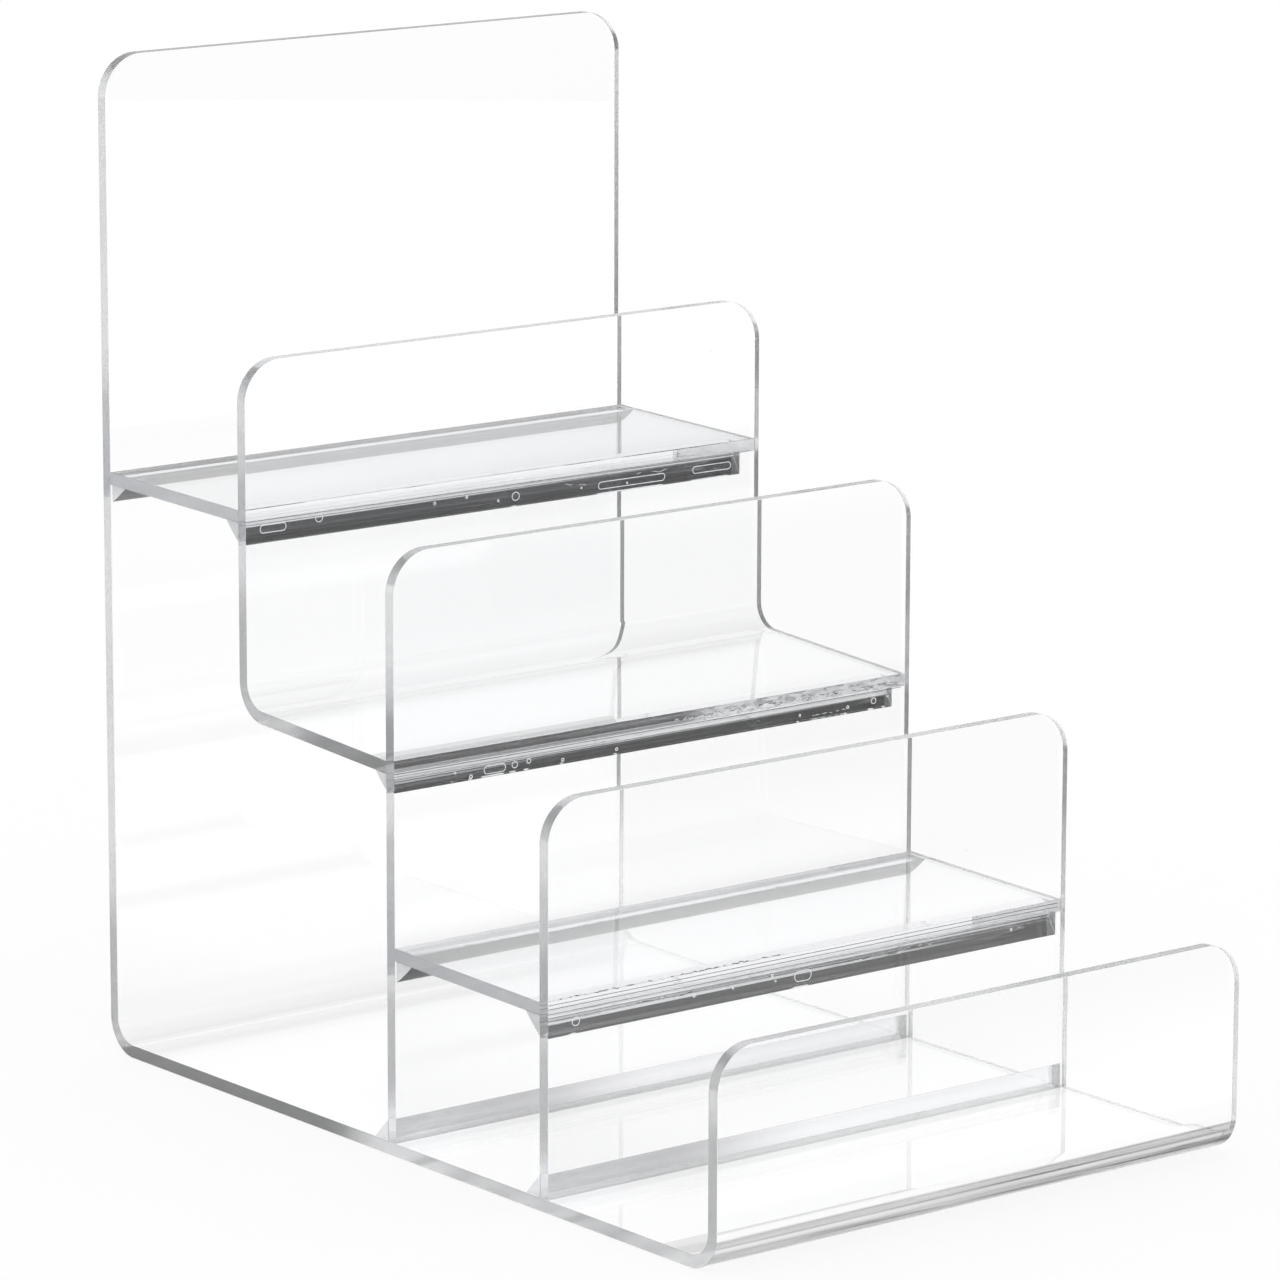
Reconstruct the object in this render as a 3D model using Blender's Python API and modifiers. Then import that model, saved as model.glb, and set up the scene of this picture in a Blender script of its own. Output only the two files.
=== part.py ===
# Clear acrylic storage shelf: a stepped stand of four open trays, cut from one thickness of
# sheet, bent along straight lines and bonded, with a three-sided strip in each inner corner.
# Metres, +Z up. The front lip faces -Y, the tall back panel +Y, and the trays run along X.
# The origin is on the table, under the middle of the stand.

import math

import bmesh
import bpy
from mathutils import Matrix, Vector

# Sheet stock and cutting
SHEET = 0.0030  # thickness of every sheet
WIDTH = 0.1500  # every sheet is cut to this width
CORNER_RADIUS = 0.0100  # free upper corners of the lips and of the back panel
BOND_GAP = 0.0003  # bond line left open between faces that are cemented together

# Clear depth of each tray, from the back of one upright to the front of the next
FRONT_TRAY = 0.0551
LOWER_TRAY = 0.0526
UPPER_TRAY = 0.0530
TOP_TRAY = 0.0513

# Rise from one tray's floor to the next, and of the back panel above the last
LOWER_STEP = 0.0440
UPPER_STEP = 0.0464
TOP_STEP = 0.0449
BACK_RISE = 0.0980

# How far each lip stands above the floor of its own tray
FRONT_LIP = 0.0465
LOWER_LIP = 0.0449
UPPER_LIP = 0.0441
TOP_LIP = 0.0342

# The upper tray's floor is the bent foot of the step sheet, and it falls a little to the front
UPPER_FLOOR_DROP = 0.0032

# Inner radii of the bends
FRONT_BEND = 0.0060
BACK_BEND = 0.0060
STEP_BEND = 0.0060

# Three-sided strips that back up the bonded corners
STRIP_LEG = 0.0050
STRIP_SETBACK = 0.0005  # each end stops this far inside the sheet's end

# Facets of a bend or of a rounded corner
BEND_STEPS = 20
CORNER_STEPS = 12

# Places of a side view's two ends in its list of points
FIRST = 0
LAST = -1

DEPTH = FRONT_TRAY + LOWER_TRAY + UPPER_TRAY + TOP_TRAY + 5 * SHEET

# Front faces of the uprights, from the front lip to the back panel
lip_y = -DEPTH / 2
front_riser_y = lip_y + SHEET + FRONT_TRAY
middle_riser_y = front_riser_y + SHEET + LOWER_TRAY
step_riser_y = middle_riser_y + SHEET + UPPER_TRAY
back_panel_y = step_riser_y + SHEET + TOP_TRAY

# Upper faces of the four tray floors
base_top = SHEET
lower_floor = base_top + LOWER_STEP
upper_floor = lower_floor + UPPER_STEP
top_floor = upper_floor + TOP_STEP


def clear_scene():
    for thing in list(bpy.data.objects):
        bpy.data.objects.remove(thing)


def make_collection(name):
    group = bpy.data.collections.new(name)
    bpy.context.scene.collection.children.link(group)
    return group


def make_origin(name):
    """An empty on the table that carries every piece."""
    origin = bpy.data.objects.new(name, None)
    shelf_pieces.objects.link(origin)
    return origin


def clear_acrylic(name, tint, roughness):
    material = bpy.data.materials.new(name)
    material.use_nodes = True
    shader = material.node_tree.nodes["Principled BSDF"]
    shader.inputs["Base Color"].default_value = (*tint, 1)
    shader.inputs["Roughness"].default_value = roughness
    shader.inputs["Metallic"].default_value = 0
    shader.inputs["IOR"].default_value = 1.49
    shader.inputs["Transmission Weight"].default_value = 1
    return material


def add_piece(name, data, location, material):
    """Put a mesh or a curve on the stand as one named piece."""
    piece = bpy.data.objects.new(name, data)
    piece.location = location
    piece.parent = stand_origin
    data.materials.append(material)
    shelf_pieces.objects.link(piece)
    return piece


def bend_points(before, corner, after, radius):
    """Points of the arc of this radius that rounds a corner of a side view."""
    into = (corner - before).normalized()
    out = (after - corner).normalized()
    turn = out.angle_signed(into)
    reach = min(radius * math.tan(abs(turn) / 2), (corner - before).length, (after - corner).length)
    bend_radius = reach / math.tan(abs(turn) / 2)
    start = corner - into * reach
    inward = Vector((-into.y, into.x)) * math.copysign(1, turn)
    centre = start + inward * bend_radius
    spoke = start - centre
    steps = range(BEND_STEPS + 1)
    return [centre + Matrix.Rotation(turn * step / BEND_STEPS, 2) @ spoke for step in steps]


def side_view(corners, radii):
    """The line of a bent sheet's one face, seen from the side, with each inner corner rounded."""
    corners = [Vector(corner) for corner in corners]
    line = [corners[0]]
    for before, corner, after, radius in zip(corners, corners[1:], corners[2:], radii):
        line += bend_points(before, corner, after, radius)
    return line + [corners[-1]]


def bent_sheet(name, location, line, free_ends, material):
    """A sheet of the stock, swept along X from its side view.

    The line is (y, z) points of one face, and the thickness lies to the left of its direction.
    free_ends are the places in the line, first or last, where the sheet's corners are rounded.
    """
    mesh = bpy.data.meshes.new(name)
    shape = bmesh.new()
    points = [shape.verts.new((-WIDTH / 2, y, z)) for y, z in line]
    edges = [shape.edges.new(pair) for pair in zip(points, points[1:])]
    swept = bmesh.ops.extrude_edge_only(shape, edges=edges)["geom"]
    far_side = [item for item in swept if isinstance(item, bmesh.types.BMVert)]
    bmesh.ops.translate(shape, verts=far_side, vec=(WIDTH, 0, 0))
    bmesh.ops.reverse_faces(shape, faces=shape.faces)
    shape.to_mesh(mesh)
    shape.free()

    piece = add_piece(name, mesh, location, material)
    if free_ends:
        corners = piece.vertex_groups.new(name="free corners")
        ends = [line[place] for place in free_ends]
        for vertex in mesh.vertices:
            if any((vertex.co.yz - end).length < BOND_GAP for end in ends):
                corners.add([vertex.index], 1, "REPLACE")
        rounding = piece.modifiers.new("rounded corners", "BEVEL")
        rounding.affect = "VERTICES"
        rounding.limit_method = "VGROUP"
        rounding.vertex_group = corners.name
        rounding.width = CORNER_RADIUS
        rounding.segments = CORNER_STEPS
    thickness = piece.modifiers.new("sheet thickness", "SOLIDIFY")
    thickness.thickness = SHEET
    thickness.offset = -1
    thickness.use_even_offset = True
    return piece


def corner_strip(name, corner, toward_y, toward_z):
    """A strip of right-angled three-sided section, lying along X in a bonded corner.

    corner is the (y, z) of the sheets' corner; toward_y and toward_z are +1 or -1, and say
    which way its two legs run from there.
    """
    section = bpy.data.curves.new(name, "CURVE")
    section.dimensions = "2D"
    section.fill_mode = "BOTH"
    section.extrude = WIDTH / 2 - STRIP_SETBACK
    outline = section.splines.new("POLY")
    outline.points.add(2)
    outline.points[1].co.x = STRIP_LEG * toward_y
    outline.points[2].co.y = STRIP_LEG * toward_z
    outline.use_cyclic_u = True
    y, z = corner
    place = (0, y + BOND_GAP * toward_y, z + BOND_GAP * toward_z)
    strip = add_piece(name, section, place, strip_acrylic)
    strip.rotation_euler = (math.radians(90), 0, math.radians(90))
    return strip


def build_base_sheet():
    """Front lip, base and tall back panel, bent from one sheet. Its line is the outer face."""
    corners = [(0, base_top + FRONT_LIP), (0, 0), (DEPTH, 0), (DEPTH, top_floor + BACK_RISE)]
    line = side_view(corners, [FRONT_BEND + SHEET, BACK_BEND + SHEET])
    bent_sheet("base_sheet", (0, lip_y, 0), line, [FIRST, LAST], base_acrylic)


def build_step_sheet():
    """Lip of the top tray, its riser, and the floor of the upper tray, bent from one sheet.

    Its line is the underside and the back face, from the floor's front end.
    """
    run = UPPER_TRAY + SHEET
    slope = math.atan2(UPPER_FLOOR_DROP, run)
    rear_underside = upper_floor - SHEET / math.cos(slope) + SHEET * math.tan(slope)
    front_y = middle_riser_y + SHEET + BOND_GAP + SHEET * math.sin(slope)
    back_y = step_riser_y + SHEET
    length = back_y - front_y
    front_underside = rear_underside - length * math.tan(slope)
    corners = [(-length, front_underside), (0, rear_underside), (0, top_floor + TOP_LIP)]
    line = side_view(corners, [STEP_BEND + SHEET])
    bent_sheet("step_sheet", (0, back_y, 0), line, [LAST], step_acrylic)
    return front_underside


def build_risers():
    """The two flat uprights that stand on the base. Each line runs down the front face."""
    foot = base_top + BOND_GAP
    for name, y, lip_top in (
        ("middle_riser", middle_riser_y, upper_floor + UPPER_LIP),
        ("front_riser", front_riser_y, lower_floor + LOWER_LIP),
    ):
        line = [Vector((0, lip_top - foot)), Vector((0, 0))]
        bent_sheet(name, (0, y, foot), line, [FIRST], riser_acrylic)


def build_flat_floors():
    """The two tray floors that are plain plates. Each line runs back along the underside."""
    for name, floor, front, back in (
        ("top_shelf", top_floor, step_riser_y + SHEET, back_panel_y),
        ("lower_shelf", lower_floor, front_riser_y + SHEET, middle_riser_y),
    ):
        line = [Vector((0, 0)), Vector((back - front - 2 * BOND_GAP, 0))]
        bent_sheet(name, (0, front + BOND_GAP, floor - SHEET), line, [], floor_acrylic)


def build_strips(upper_floor_front):
    """A strip in each bonded corner under a floor or behind a riser's foot."""
    under_top = top_floor - SHEET
    under_lower = lower_floor - SHEET
    behind_front = front_riser_y + SHEET
    behind_middle = middle_riser_y + SHEET
    behind_step = step_riser_y + SHEET
    corner_strip("top_rear_strip", (back_panel_y, under_top), -1, -1)
    corner_strip("top_front_strip", (behind_step, under_top), 1, -1)
    corner_strip("upper_front_strip", (behind_middle, upper_floor_front), 1, -1)
    corner_strip("lower_rear_strip", (middle_riser_y, under_lower), -1, -1)
    corner_strip("lower_front_strip", (behind_front, under_lower), 1, -1)
    corner_strip("middle_foot_strip", (behind_middle, base_top), 1, 1)
    corner_strip("front_foot_strip", (behind_front, base_top), 1, 1)


clear_scene()
shelf_pieces = make_collection("acrylic storage shelf")
stand_origin = make_origin("table_point")
base_acrylic = clear_acrylic("clear acrylic, base sheet", (0.96, 0.97, 0.98), 0.02)
step_acrylic = clear_acrylic("clear acrylic, step sheet", (0.94, 0.95, 0.97), 0.02)
riser_acrylic = clear_acrylic("clear acrylic, risers", (0.95, 0.96, 0.97), 0.02)
floor_acrylic = clear_acrylic("clear acrylic, floors", (0.93, 0.94, 0.96), 0.02)
strip_acrylic = clear_acrylic("clear acrylic, strips", (0.80, 0.81, 0.83), 0.05)
build_base_sheet()
upper_floor_front = build_step_sheet()
build_risers()
build_flat_floors()
build_strips(upper_floor_front)
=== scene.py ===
import math
import bmesh
import bpy
from mathutils import Matrix, Vector


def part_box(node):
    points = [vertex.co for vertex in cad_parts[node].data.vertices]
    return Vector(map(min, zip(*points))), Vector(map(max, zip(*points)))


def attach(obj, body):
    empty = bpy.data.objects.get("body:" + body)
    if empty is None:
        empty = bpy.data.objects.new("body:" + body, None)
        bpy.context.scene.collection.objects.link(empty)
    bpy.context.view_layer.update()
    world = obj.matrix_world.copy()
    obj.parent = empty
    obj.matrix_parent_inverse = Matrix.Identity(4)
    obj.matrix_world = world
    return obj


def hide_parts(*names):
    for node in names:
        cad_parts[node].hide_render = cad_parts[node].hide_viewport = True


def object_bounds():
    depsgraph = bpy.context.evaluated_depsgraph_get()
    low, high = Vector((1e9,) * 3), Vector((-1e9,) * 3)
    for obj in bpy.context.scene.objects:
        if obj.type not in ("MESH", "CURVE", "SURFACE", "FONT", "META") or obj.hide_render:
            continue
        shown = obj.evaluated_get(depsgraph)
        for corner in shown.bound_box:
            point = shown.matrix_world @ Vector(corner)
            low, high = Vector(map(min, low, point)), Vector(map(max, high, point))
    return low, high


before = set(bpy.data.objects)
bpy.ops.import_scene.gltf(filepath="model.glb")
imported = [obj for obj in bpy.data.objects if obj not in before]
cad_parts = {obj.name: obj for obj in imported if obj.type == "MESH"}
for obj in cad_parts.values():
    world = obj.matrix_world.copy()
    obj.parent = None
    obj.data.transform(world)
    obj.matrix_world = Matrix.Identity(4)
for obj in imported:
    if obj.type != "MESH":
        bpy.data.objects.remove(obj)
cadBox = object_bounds()
print("frame loaded:", len(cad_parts), "acrylic pieces")

# Sizes that every sheet of the stand shares, in metres
stock = {
    "thickness": 0.0030,
    "cornerRadius": 0.0100,   # rounded free corners of the lips and of the back panel
    "edgeBreak": 0.00012,     # the knife-taken edge of each cut face
    "edgeAngle": 40,          # degrees, from which an edge is broken
    "bendSteps": 36,
    "cornerSteps": 20,
    "bondGap": 0.0003,        # the CAD solids stand this far apart at a bond
    "bondOverlap": 0.00005,   # cemented faces run this far into each other, so light passes the bond
    "sameSpot": 0.00001,
    "facing": 0.9,            # a face looks along an axis if its normal has this share of it
    "flat": 0.999,
}
bondReach = stock["bondGap"] + stock["bondOverlap"]
halfWidth = cadBox[1].x

# Looks that all cut sheets share
sheetFinish = {
    "refraction": 1.49,
    "shine": 0.16,            # 0.5 is the full mirror reflection of acrylic
    "dustShade": 0.62,
    "haze": 0.003,
    "wave": 0.00002,
    "clear": 0.8,             # a cut edge lets this share of the light through
    "satin": 0.22,
    "light": (0.97, 0.975, 0.98),
    "grain": 0.00003,
    # painted light: how strongly a sheet's outer side glows between its bands, and how softly the bands
    # fade
    "glow": 0.03,
    "paintedGlowFade": 0.003,
}


# Links a socket to another one, or else gives it a plain value
def feed(tree, socket, value):
    if isinstance(value, bpy.types.NodeSocket):
        tree.links.new(value, socket)
    elif value is not None:
        socket.default_value = value


# What feeds a node's inputs comes as a dictionary by the inputs' labels or places
def fill(tree, node, inputs):
    for label, value in inputs.items():
        feed(tree, node.inputs[label], value)


def addNode(tree, kind, inputs=None, **settings):
    node = tree.nodes.new(kind)
    for name, value in settings.items():
        setattr(node, name, value)
    fill(tree, node, inputs or {})
    return node


def mathNode(tree, operation, *values):
    return addNode(tree, "ShaderNodeMath", dict(enumerate(values)), operation=operation).outputs[0]


def vectorNode(tree, operation, *vectors):
    return addNode(tree, "ShaderNodeVectorMath", dict(enumerate(vectors)), operation=operation)


def lengthNode(tree, first, second):
    squares = [mathNode(tree, "MULTIPLY", part, part) for part in (first, second)]
    return mathNode(tree, "SQRT", mathNode(tree, "ADD", *squares))


def rampNode(tree, value, low, high, fromLow=0.0, fromHigh=1.0, smooth=True):
    inputs = {"Value": value, "From Min": fromLow, "From Max": fromHigh, "To Min": low, "To Max": high}
    kind = "SMOOTHSTEP" if smooth else "LINEAR"
    return addNode(tree, "ShaderNodeMapRange", inputs, interpolation_type=kind).outputs["Result"]


def noiseNode(tree, vector, scale, detail=2.0, roughness=0.5):
    inputs = {"Vector": vector, "Scale": scale, "Detail": detail, "Roughness": roughness}
    return addNode(tree, "ShaderNodeTexNoise", inputs).outputs["Fac"]


def stretchNode(tree, vector, scale, shift=(0, 0, 0)):
    inputs = {"Vector": vector, "Scale": scale, "Location": shift}
    return addNode(tree, "ShaderNodeMapping", inputs).outputs["Vector"]


def separated(tree, vector):
    return addNode(tree, "ShaderNodeSeparateXYZ", {"Vector": vector}).outputs


def combined(tree, x, y, z):
    return addNode(tree, "ShaderNodeCombineXYZ", {"X": x, "Y": y, "Z": z}).outputs[0]


# One value or the other, as the switch is 0 or 1
def chooseNode(tree, switch, first, second):
    inputs = {0: switch, 2: first, 3: second}
    return addNode(tree, "ShaderNodeMix", inputs, data_type="FLOAT").outputs[0]


# A colour is a socket or a plain (red, green, blue)
def blendNode(tree, first, second, mask):
    ends = [(*colour, 1) if isinstance(colour, tuple) else colour for colour in (first, second)]
    inputs = {0: mask, 6: ends[0], 7: ends[1]}
    return addNode(tree, "ShaderNodeMix", inputs, data_type="RGBA").outputs[2]


# A group that takes a place and some numbers, and gives values for a shader's sockets
def newGroup(name, numbers, results):
    group = bpy.data.node_groups.new(name, "ShaderNodeTree")
    group.interface.new_socket("Coordinate", in_out="INPUT", socket_type="NodeSocketVector")
    for label in numbers:
        group.interface.new_socket(label, in_out="INPUT", socket_type="NodeSocketFloat")
    for label in results:
        group.interface.new_socket(label, in_out="OUTPUT", socket_type="NodeSocketFloat")
    return group, addNode(group, "NodeGroupInput").outputs


def finishGroup(group, **results):
    addNode(group, "NodeGroupOutput", results)
    return group


# Dust, hairlines and the slight wave of extruded sheet, for every clear face
sheetMarks = {
    "cells": 130.0,                         # to the metre; the rarest ones hold a speck of dust
    "speckEdge": (0.018, 0.045),
    "speckRarity": (0.93, 0.95),
    "speckRough": 0.35,
    "hairStretch": (9.0, 240.0, 160.0),
    "hairScale": 6.0,
    "hairEdge": (0.71, 0.75),
    "hairRough": 0.012,
    "hazeScale": 18.0,
    "hazeLeast": 0.2,
    "hazeEdge": (0.35, 0.7),
    "waveScale": 14.0,
    "rippleScale": 70.0,
    "rippleShift": (3, 7, 1),
    "rippleShare": 0.12,
}


def makeSheetWear():
    group, given = newGroup("sheetWear", ["Dust", "Haze"], ["Specks", "Roughness", "Height"])
    place = given["Coordinate"]
    cells = addNode(group, "ShaderNodeTexVoronoi", {"Vector": place, "Scale": sheetMarks["cells"]})
    near = rampNode(group, cells.outputs["Distance"], 1.0, 0.0, *sheetMarks["speckEdge"])
    kept = addNode(group, "ShaderNodeSeparateColor", {"Color": cells.outputs["Color"]})
    rare = rampNode(group, kept.outputs["Red"], 0.0, 1.0, *sheetMarks["speckRarity"])
    specks = mathNode(group, "MULTIPLY", mathNode(group, "MULTIPLY", near, rare), given["Dust"])
    hairs = stretchNode(group, place, sheetMarks["hairStretch"])
    hairs = noiseNode(group, hairs, sheetMarks["hairScale"], 1.0)
    lines = rampNode(group, hairs, 0.0, 1.0, *sheetMarks["hairEdge"])
    cloud = noiseNode(group, place, sheetMarks["hazeScale"], 3.0)
    cloud = rampNode(group, cloud, sheetMarks["hazeLeast"], 1.0, *sheetMarks["hazeEdge"])
    haze = mathNode(group, "MULTIPLY", cloud, given["Haze"])
    rough = mathNode(group, "MULTIPLY_ADD", specks, sheetMarks["speckRough"], haze)
    rough = mathNode(group, "MULTIPLY_ADD", lines, sheetMarks["hairRough"], rough)
    wave = noiseNode(group, place, sheetMarks["waveScale"], 1.0)
    ripple = stretchNode(group, place, (1, 1, 1), sheetMarks["rippleShift"])
    ripple = noiseNode(group, ripple, sheetMarks["rippleScale"], 1.0)
    height = mathNode(group, "MULTIPLY_ADD", ripple, sheetMarks["rippleShare"], wave)
    return finishGroup(group, Specks=specks, Roughness=rough, Height=height)


# The satin grain that a saw and a scraper leave on a cut face
sawMarks = {
    "coarse": 420.0,
    "fine": 1900.0,
    "fineShare": 0.45,
    "mottleEdge": (0.36, 0.62),
    "mottleDepth": 0.4,
    "drift": 26.0,
    "driftEdge": (0.3, 0.7),
    "driftDepth": 0.6,
    "roughLeast": 0.6,
    "roughGain": 0.6,
}


def makeCutGrain():
    group, given = newGroup("cutGrain", ["Satin"], ["Mottle", "Roughness", "Height"])
    place = given["Coordinate"]
    coarse = noiseNode(group, place, sawMarks["coarse"])
    fine = noiseNode(group, place, sawMarks["fine"])
    drift = noiseNode(group, place, sawMarks["drift"])
    mottle = mathNode(group, "MULTIPLY", coarse, 1.0 - sawMarks["fineShare"])
    mottle = mathNode(group, "MULTIPLY_ADD", fine, sawMarks["fineShare"], mottle)
    mottle = rampNode(group, mottle, 0.0, 1.0, *sawMarks["mottleEdge"])
    mottle = mathNode(group, "MULTIPLY", mottle, sawMarks["mottleDepth"])
    drift = rampNode(group, drift, 0.0, sawMarks["driftDepth"], *sawMarks["driftEdge"])
    mottle = mathNode(group, "ADD", drift, mottle)
    rough = mathNode(group, "MULTIPLY_ADD", mottle, sawMarks["roughGain"], sawMarks["roughLeast"])
    rough = mathNode(group, "MULTIPLY", rough, given["Satin"])
    return finishGroup(group, Mottle=mottle, Roughness=rough, Height=coarse)


# Fine lines that a drawing die leaves along a strip, and a saw along a sheet's hidden edge
dieMarks = {
    "broad": (1.6, 430.0, 430.0),
    "fine": (3.0, 1500.0, 1500.0),
    "fineShift": (4, 2, 9),
    "fineShare": 0.16,
    "edge": (0.4, 0.75),
}


def makeDieLines():
    group, given = newGroup("dieLines", [], ["Streaks", "Height"])
    place = given["Coordinate"]
    broad = noiseNode(group, stretchNode(group, place, dieMarks["broad"]), 1.0, 1.0)
    fine = stretchNode(group, place, dieMarks["fine"], dieMarks["fineShift"])
    fine = noiseNode(group, fine, 1.0, 1.0)
    both = mathNode(group, "MULTIPLY_ADD", fine, dieMarks["fineShare"], broad)
    streaks = rampNode(group, both, 0.0, 1.0, *dieMarks["edge"])
    return finishGroup(group, Streaks=streaks, Height=both)


sheetWear = makeSheetWear()
cutGrain = makeCutGrain()
dieLines = makeDieLines()
print("surface groups built")


def placeGroup(tree, group, coordinate, **values):
    inputs = {"Coordinate": coordinate, **values}
    return addNode(tree, "ShaderNodeGroup", inputs, node_tree=group).outputs


def newMaterial(name):
    material = bpy.data.materials.new(name)
    material.use_nodes = True
    tree = material.node_tree
    coordinate = addNode(tree, "ShaderNodeTexCoord").outputs["Object"]
    return material, tree, tree.nodes["Principled BSDF"], coordinate


def newAcrylic(name, clear=1.0, shine=0.5):
    material, tree, shader, coordinate = newMaterial(name)
    shader.inputs["Metallic"].default_value = 0.0
    shader.inputs["IOR"].default_value = sheetFinish["refraction"]
    shader.inputs["Transmission Weight"].default_value = clear
    shader.inputs["Specular IOR Level"].default_value = shine
    return material, tree, shader, coordinate


def bumpInto(tree, shader, height, distance):
    bump = addNode(tree, "ShaderNodeBump", {"Strength": 1.0, "Distance": distance, "Height": height})
    feed(tree, shader.inputs["Normal"], bump.outputs["Normal"])


# Painted shade on the front bend: its colour is darkened in streaky bands round its curve, standing for the
# shade that the curved sheet shows
bendPaintedShade = {
    # degrees round the bend from its top, and how dark the painted shade is there
    "shades": (
        (0, 0.0), (7, 0.0), (10.5, 0.80), (13, 0.62), (18, 0.42), (23, 0.38), (28, 0.55),
        (34, 0.86), (42, 0.92), (48, 0.80), (52, 0.0), (90, 0.0),
    ),
    "wander": 0.05,
    "wanderStretch": (16.0, 90.0, 90.0),
    "streaks": (0.75, 1.2),
    "streakEdge": (0.3, 0.7),
    "streakStretch": (22.0, 900.0, 900.0),
    "ends": (0.85, 1.08),     # the shade's strength at the left and the right end
}


# axis is the (y, z) of the middle of the bend's curve
def shadeBend(tree, place, colour, axis):
    axes = separated(tree, place)
    ahead = mathNode(tree, "SUBTRACT", axis[0], axes["Y"])
    under = mathNode(tree, "SUBTRACT", axis[1], axes["Z"])
    reach = lengthNode(tree, ahead, under)
    outer = mathNode(tree, "GREATER_THAN", reach, axis[1] - stock["thickness"] / 2)
    angle = mathNode(tree, "ARCTAN2", under, ahead)
    wander = stretchNode(tree, place, bendPaintedShade["wanderStretch"])
    wander = mathNode(tree, "SUBTRACT", noiseNode(tree, wander, 1.0), 0.5)
    angle = mathNode(tree, "MULTIPLY_ADD", wander, bendPaintedShade["wander"], angle)
    turned = rampNode(tree, angle, 0.0, 1.0, 0.0, math.pi / 2, smooth=False)
    shades = addNode(tree, "ShaderNodeValToRGB", {"Fac": turned})
    stops = shades.color_ramp.elements
    for degrees, depth in bendPaintedShade["shades"][1:-1]:
        stops.new(degrees / 90).color = (depth, depth, depth, 1)
    for end in (0, -1):
        depth = bendPaintedShade["shades"][end][1]
        stops[end].color = (depth, depth, depth, 1)
    streaks = stretchNode(tree, place, bendPaintedShade["streakStretch"])
    streaks = noiseNode(tree, streaks, 1.0, 3.0, 0.6)
    depth = rampNode(tree, streaks, *bendPaintedShade["streaks"], *bendPaintedShade["streakEdge"])
    depth = mathNode(tree, "MULTIPLY", shades.outputs["Color"], depth)
    depth = mathNode(tree, "MULTIPLY", depth, outer)
    rightwards = rampNode(tree, axes["X"], *bendPaintedShade["ends"], -halfWidth, halfWidth)
    depth = mathNode(tree, "MINIMUM", mathNode(tree, "MULTIPLY", depth, rightwards), 1.0)
    # painted shade: the sheet's colour is blended towards black round the bend
    return blendNode(tree, colour, (0, 0, 0), depth)


# The stand had white walls close round it. Between these heights, in metres, a sheet's outer
# side glows with a painted light, an emission that stands in for the little light that the walls gave.
def paintWallGlow(tree, shader, place, finish):
    height = separated(tree, place)["Z"]
    fade = finish["paintedGlowFade"]
    lifted = 0.0
    for foot, top in finish["paintedGlowBands"]:
        above = rampNode(tree, height, 0.0, 1.0, foot, foot + fade)
        below = rampNode(tree, height, 1.0, 0.0, top - fade, top)
        lifted = mathNode(tree, "MAXIMUM", mathNode(tree, "MULTIPLY", above, below), lifted)
    inside = addNode(tree, "ShaderNodeNewGeometry").outputs["Backfacing"]
    lifted = mathNode(tree, "MULTIPLY", lifted, mathNode(tree, "SUBTRACT", 1.0, inside))
    # painted light: an emission on the outer side between the bands
    light = blendNode(tree, (0, 0, 0), (1, 1, 1), lifted)
    fill(tree, shader, {"Emission Color": light, "Emission Strength": finish["glow"]})


def faceMaterial(name, finish):
    material, tree, shader, place = newAcrylic(name, shine=finish["shine"])
    wear = placeGroup(tree, sheetWear, place, Dust=finish["dust"], Haze=finish["haze"])
    dusty = tuple(finish["dustShade"] * part for part in finish["tint"])
    colour = blendNode(tree, finish["tint"], dusty, wear["Specks"])
    # painted shade round the front bend
    if "bendAxis" in finish:
        colour = shadeBend(tree, place, colour, finish["bendAxis"])
    fill(tree, shader, {"Base Color": colour, "Roughness": wear["Roughness"]})
    bumpInto(tree, shader, wear["Height"], finish["wave"])
    # painted light on the sheet's outer side
    if "paintedGlowBands" in finish:
        paintWallGlow(tree, shader, place, finish)
    return material


def edgeMaterial(name, finish):
    material, tree, shader, place = newAcrylic(name, finish["clear"])
    grain = placeGroup(tree, cutGrain, place, Satin=finish["satin"])
    colour = blendNode(tree, finish["light"], finish["dark"], grain["Mottle"])
    fill(tree, shader, {"Base Color": colour, "Roughness": grain["Roughness"]})
    bumpInto(tree, shader, grain["Height"], finish["grain"])
    return material


# A drawn strip or a bonded edge. Where its cloud and glow are given, it is cloudy and glows with a painted
# light along part of X.
def stripMaterial(name, finish, cloudyWithPaintedGlow=None):
    material, tree, shader, place = newAcrylic(name, shine=finish["shine"])
    lines = placeGroup(tree, dieLines, place)
    colour = blendNode(tree, finish["light"], finish["dark"], lines["Streaks"])
    rough = rampNode(tree, lines["Streaks"], *finish["rough"])
    if cloudyWithPaintedGlow:
        along = separated(tree, place)["X"]
        patches = stretchNode(tree, place, finish["patchStretch"])
        patches = noiseNode(tree, patches, finish["patchScale"])
        patches = rampNode(tree, patches, cloudyWithPaintedGlow["patch"], 1.0, *finish["patchEdge"])
        haze = rampNode(tree, along, 0.0, cloudyWithPaintedGlow["haze"], *cloudyWithPaintedGlow["reach"])
        rough = mathNode(tree, "MULTIPLY_ADD", haze, patches, rough)
        cloud = rampNode(tree, along, 0.0, 1.0, *cloudyWithPaintedGlow["reach"])
        cloud = mathNode(tree, "MULTIPLY", cloud, patches)
        # painted light: an emission, whitish where the cloud patches are
        light = blendNode(tree, (0, 0, 0), cloudyWithPaintedGlow["colour"], cloud)
        fill(tree, shader, {"Emission Color": light, "Emission Strength": cloudyWithPaintedGlow["glow"]})
    fill(tree, shader, {"Base Color": colour, "Roughness": rough})
    bumpInto(tree, shader, lines["Height"], finish["lines"])
    return material


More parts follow.
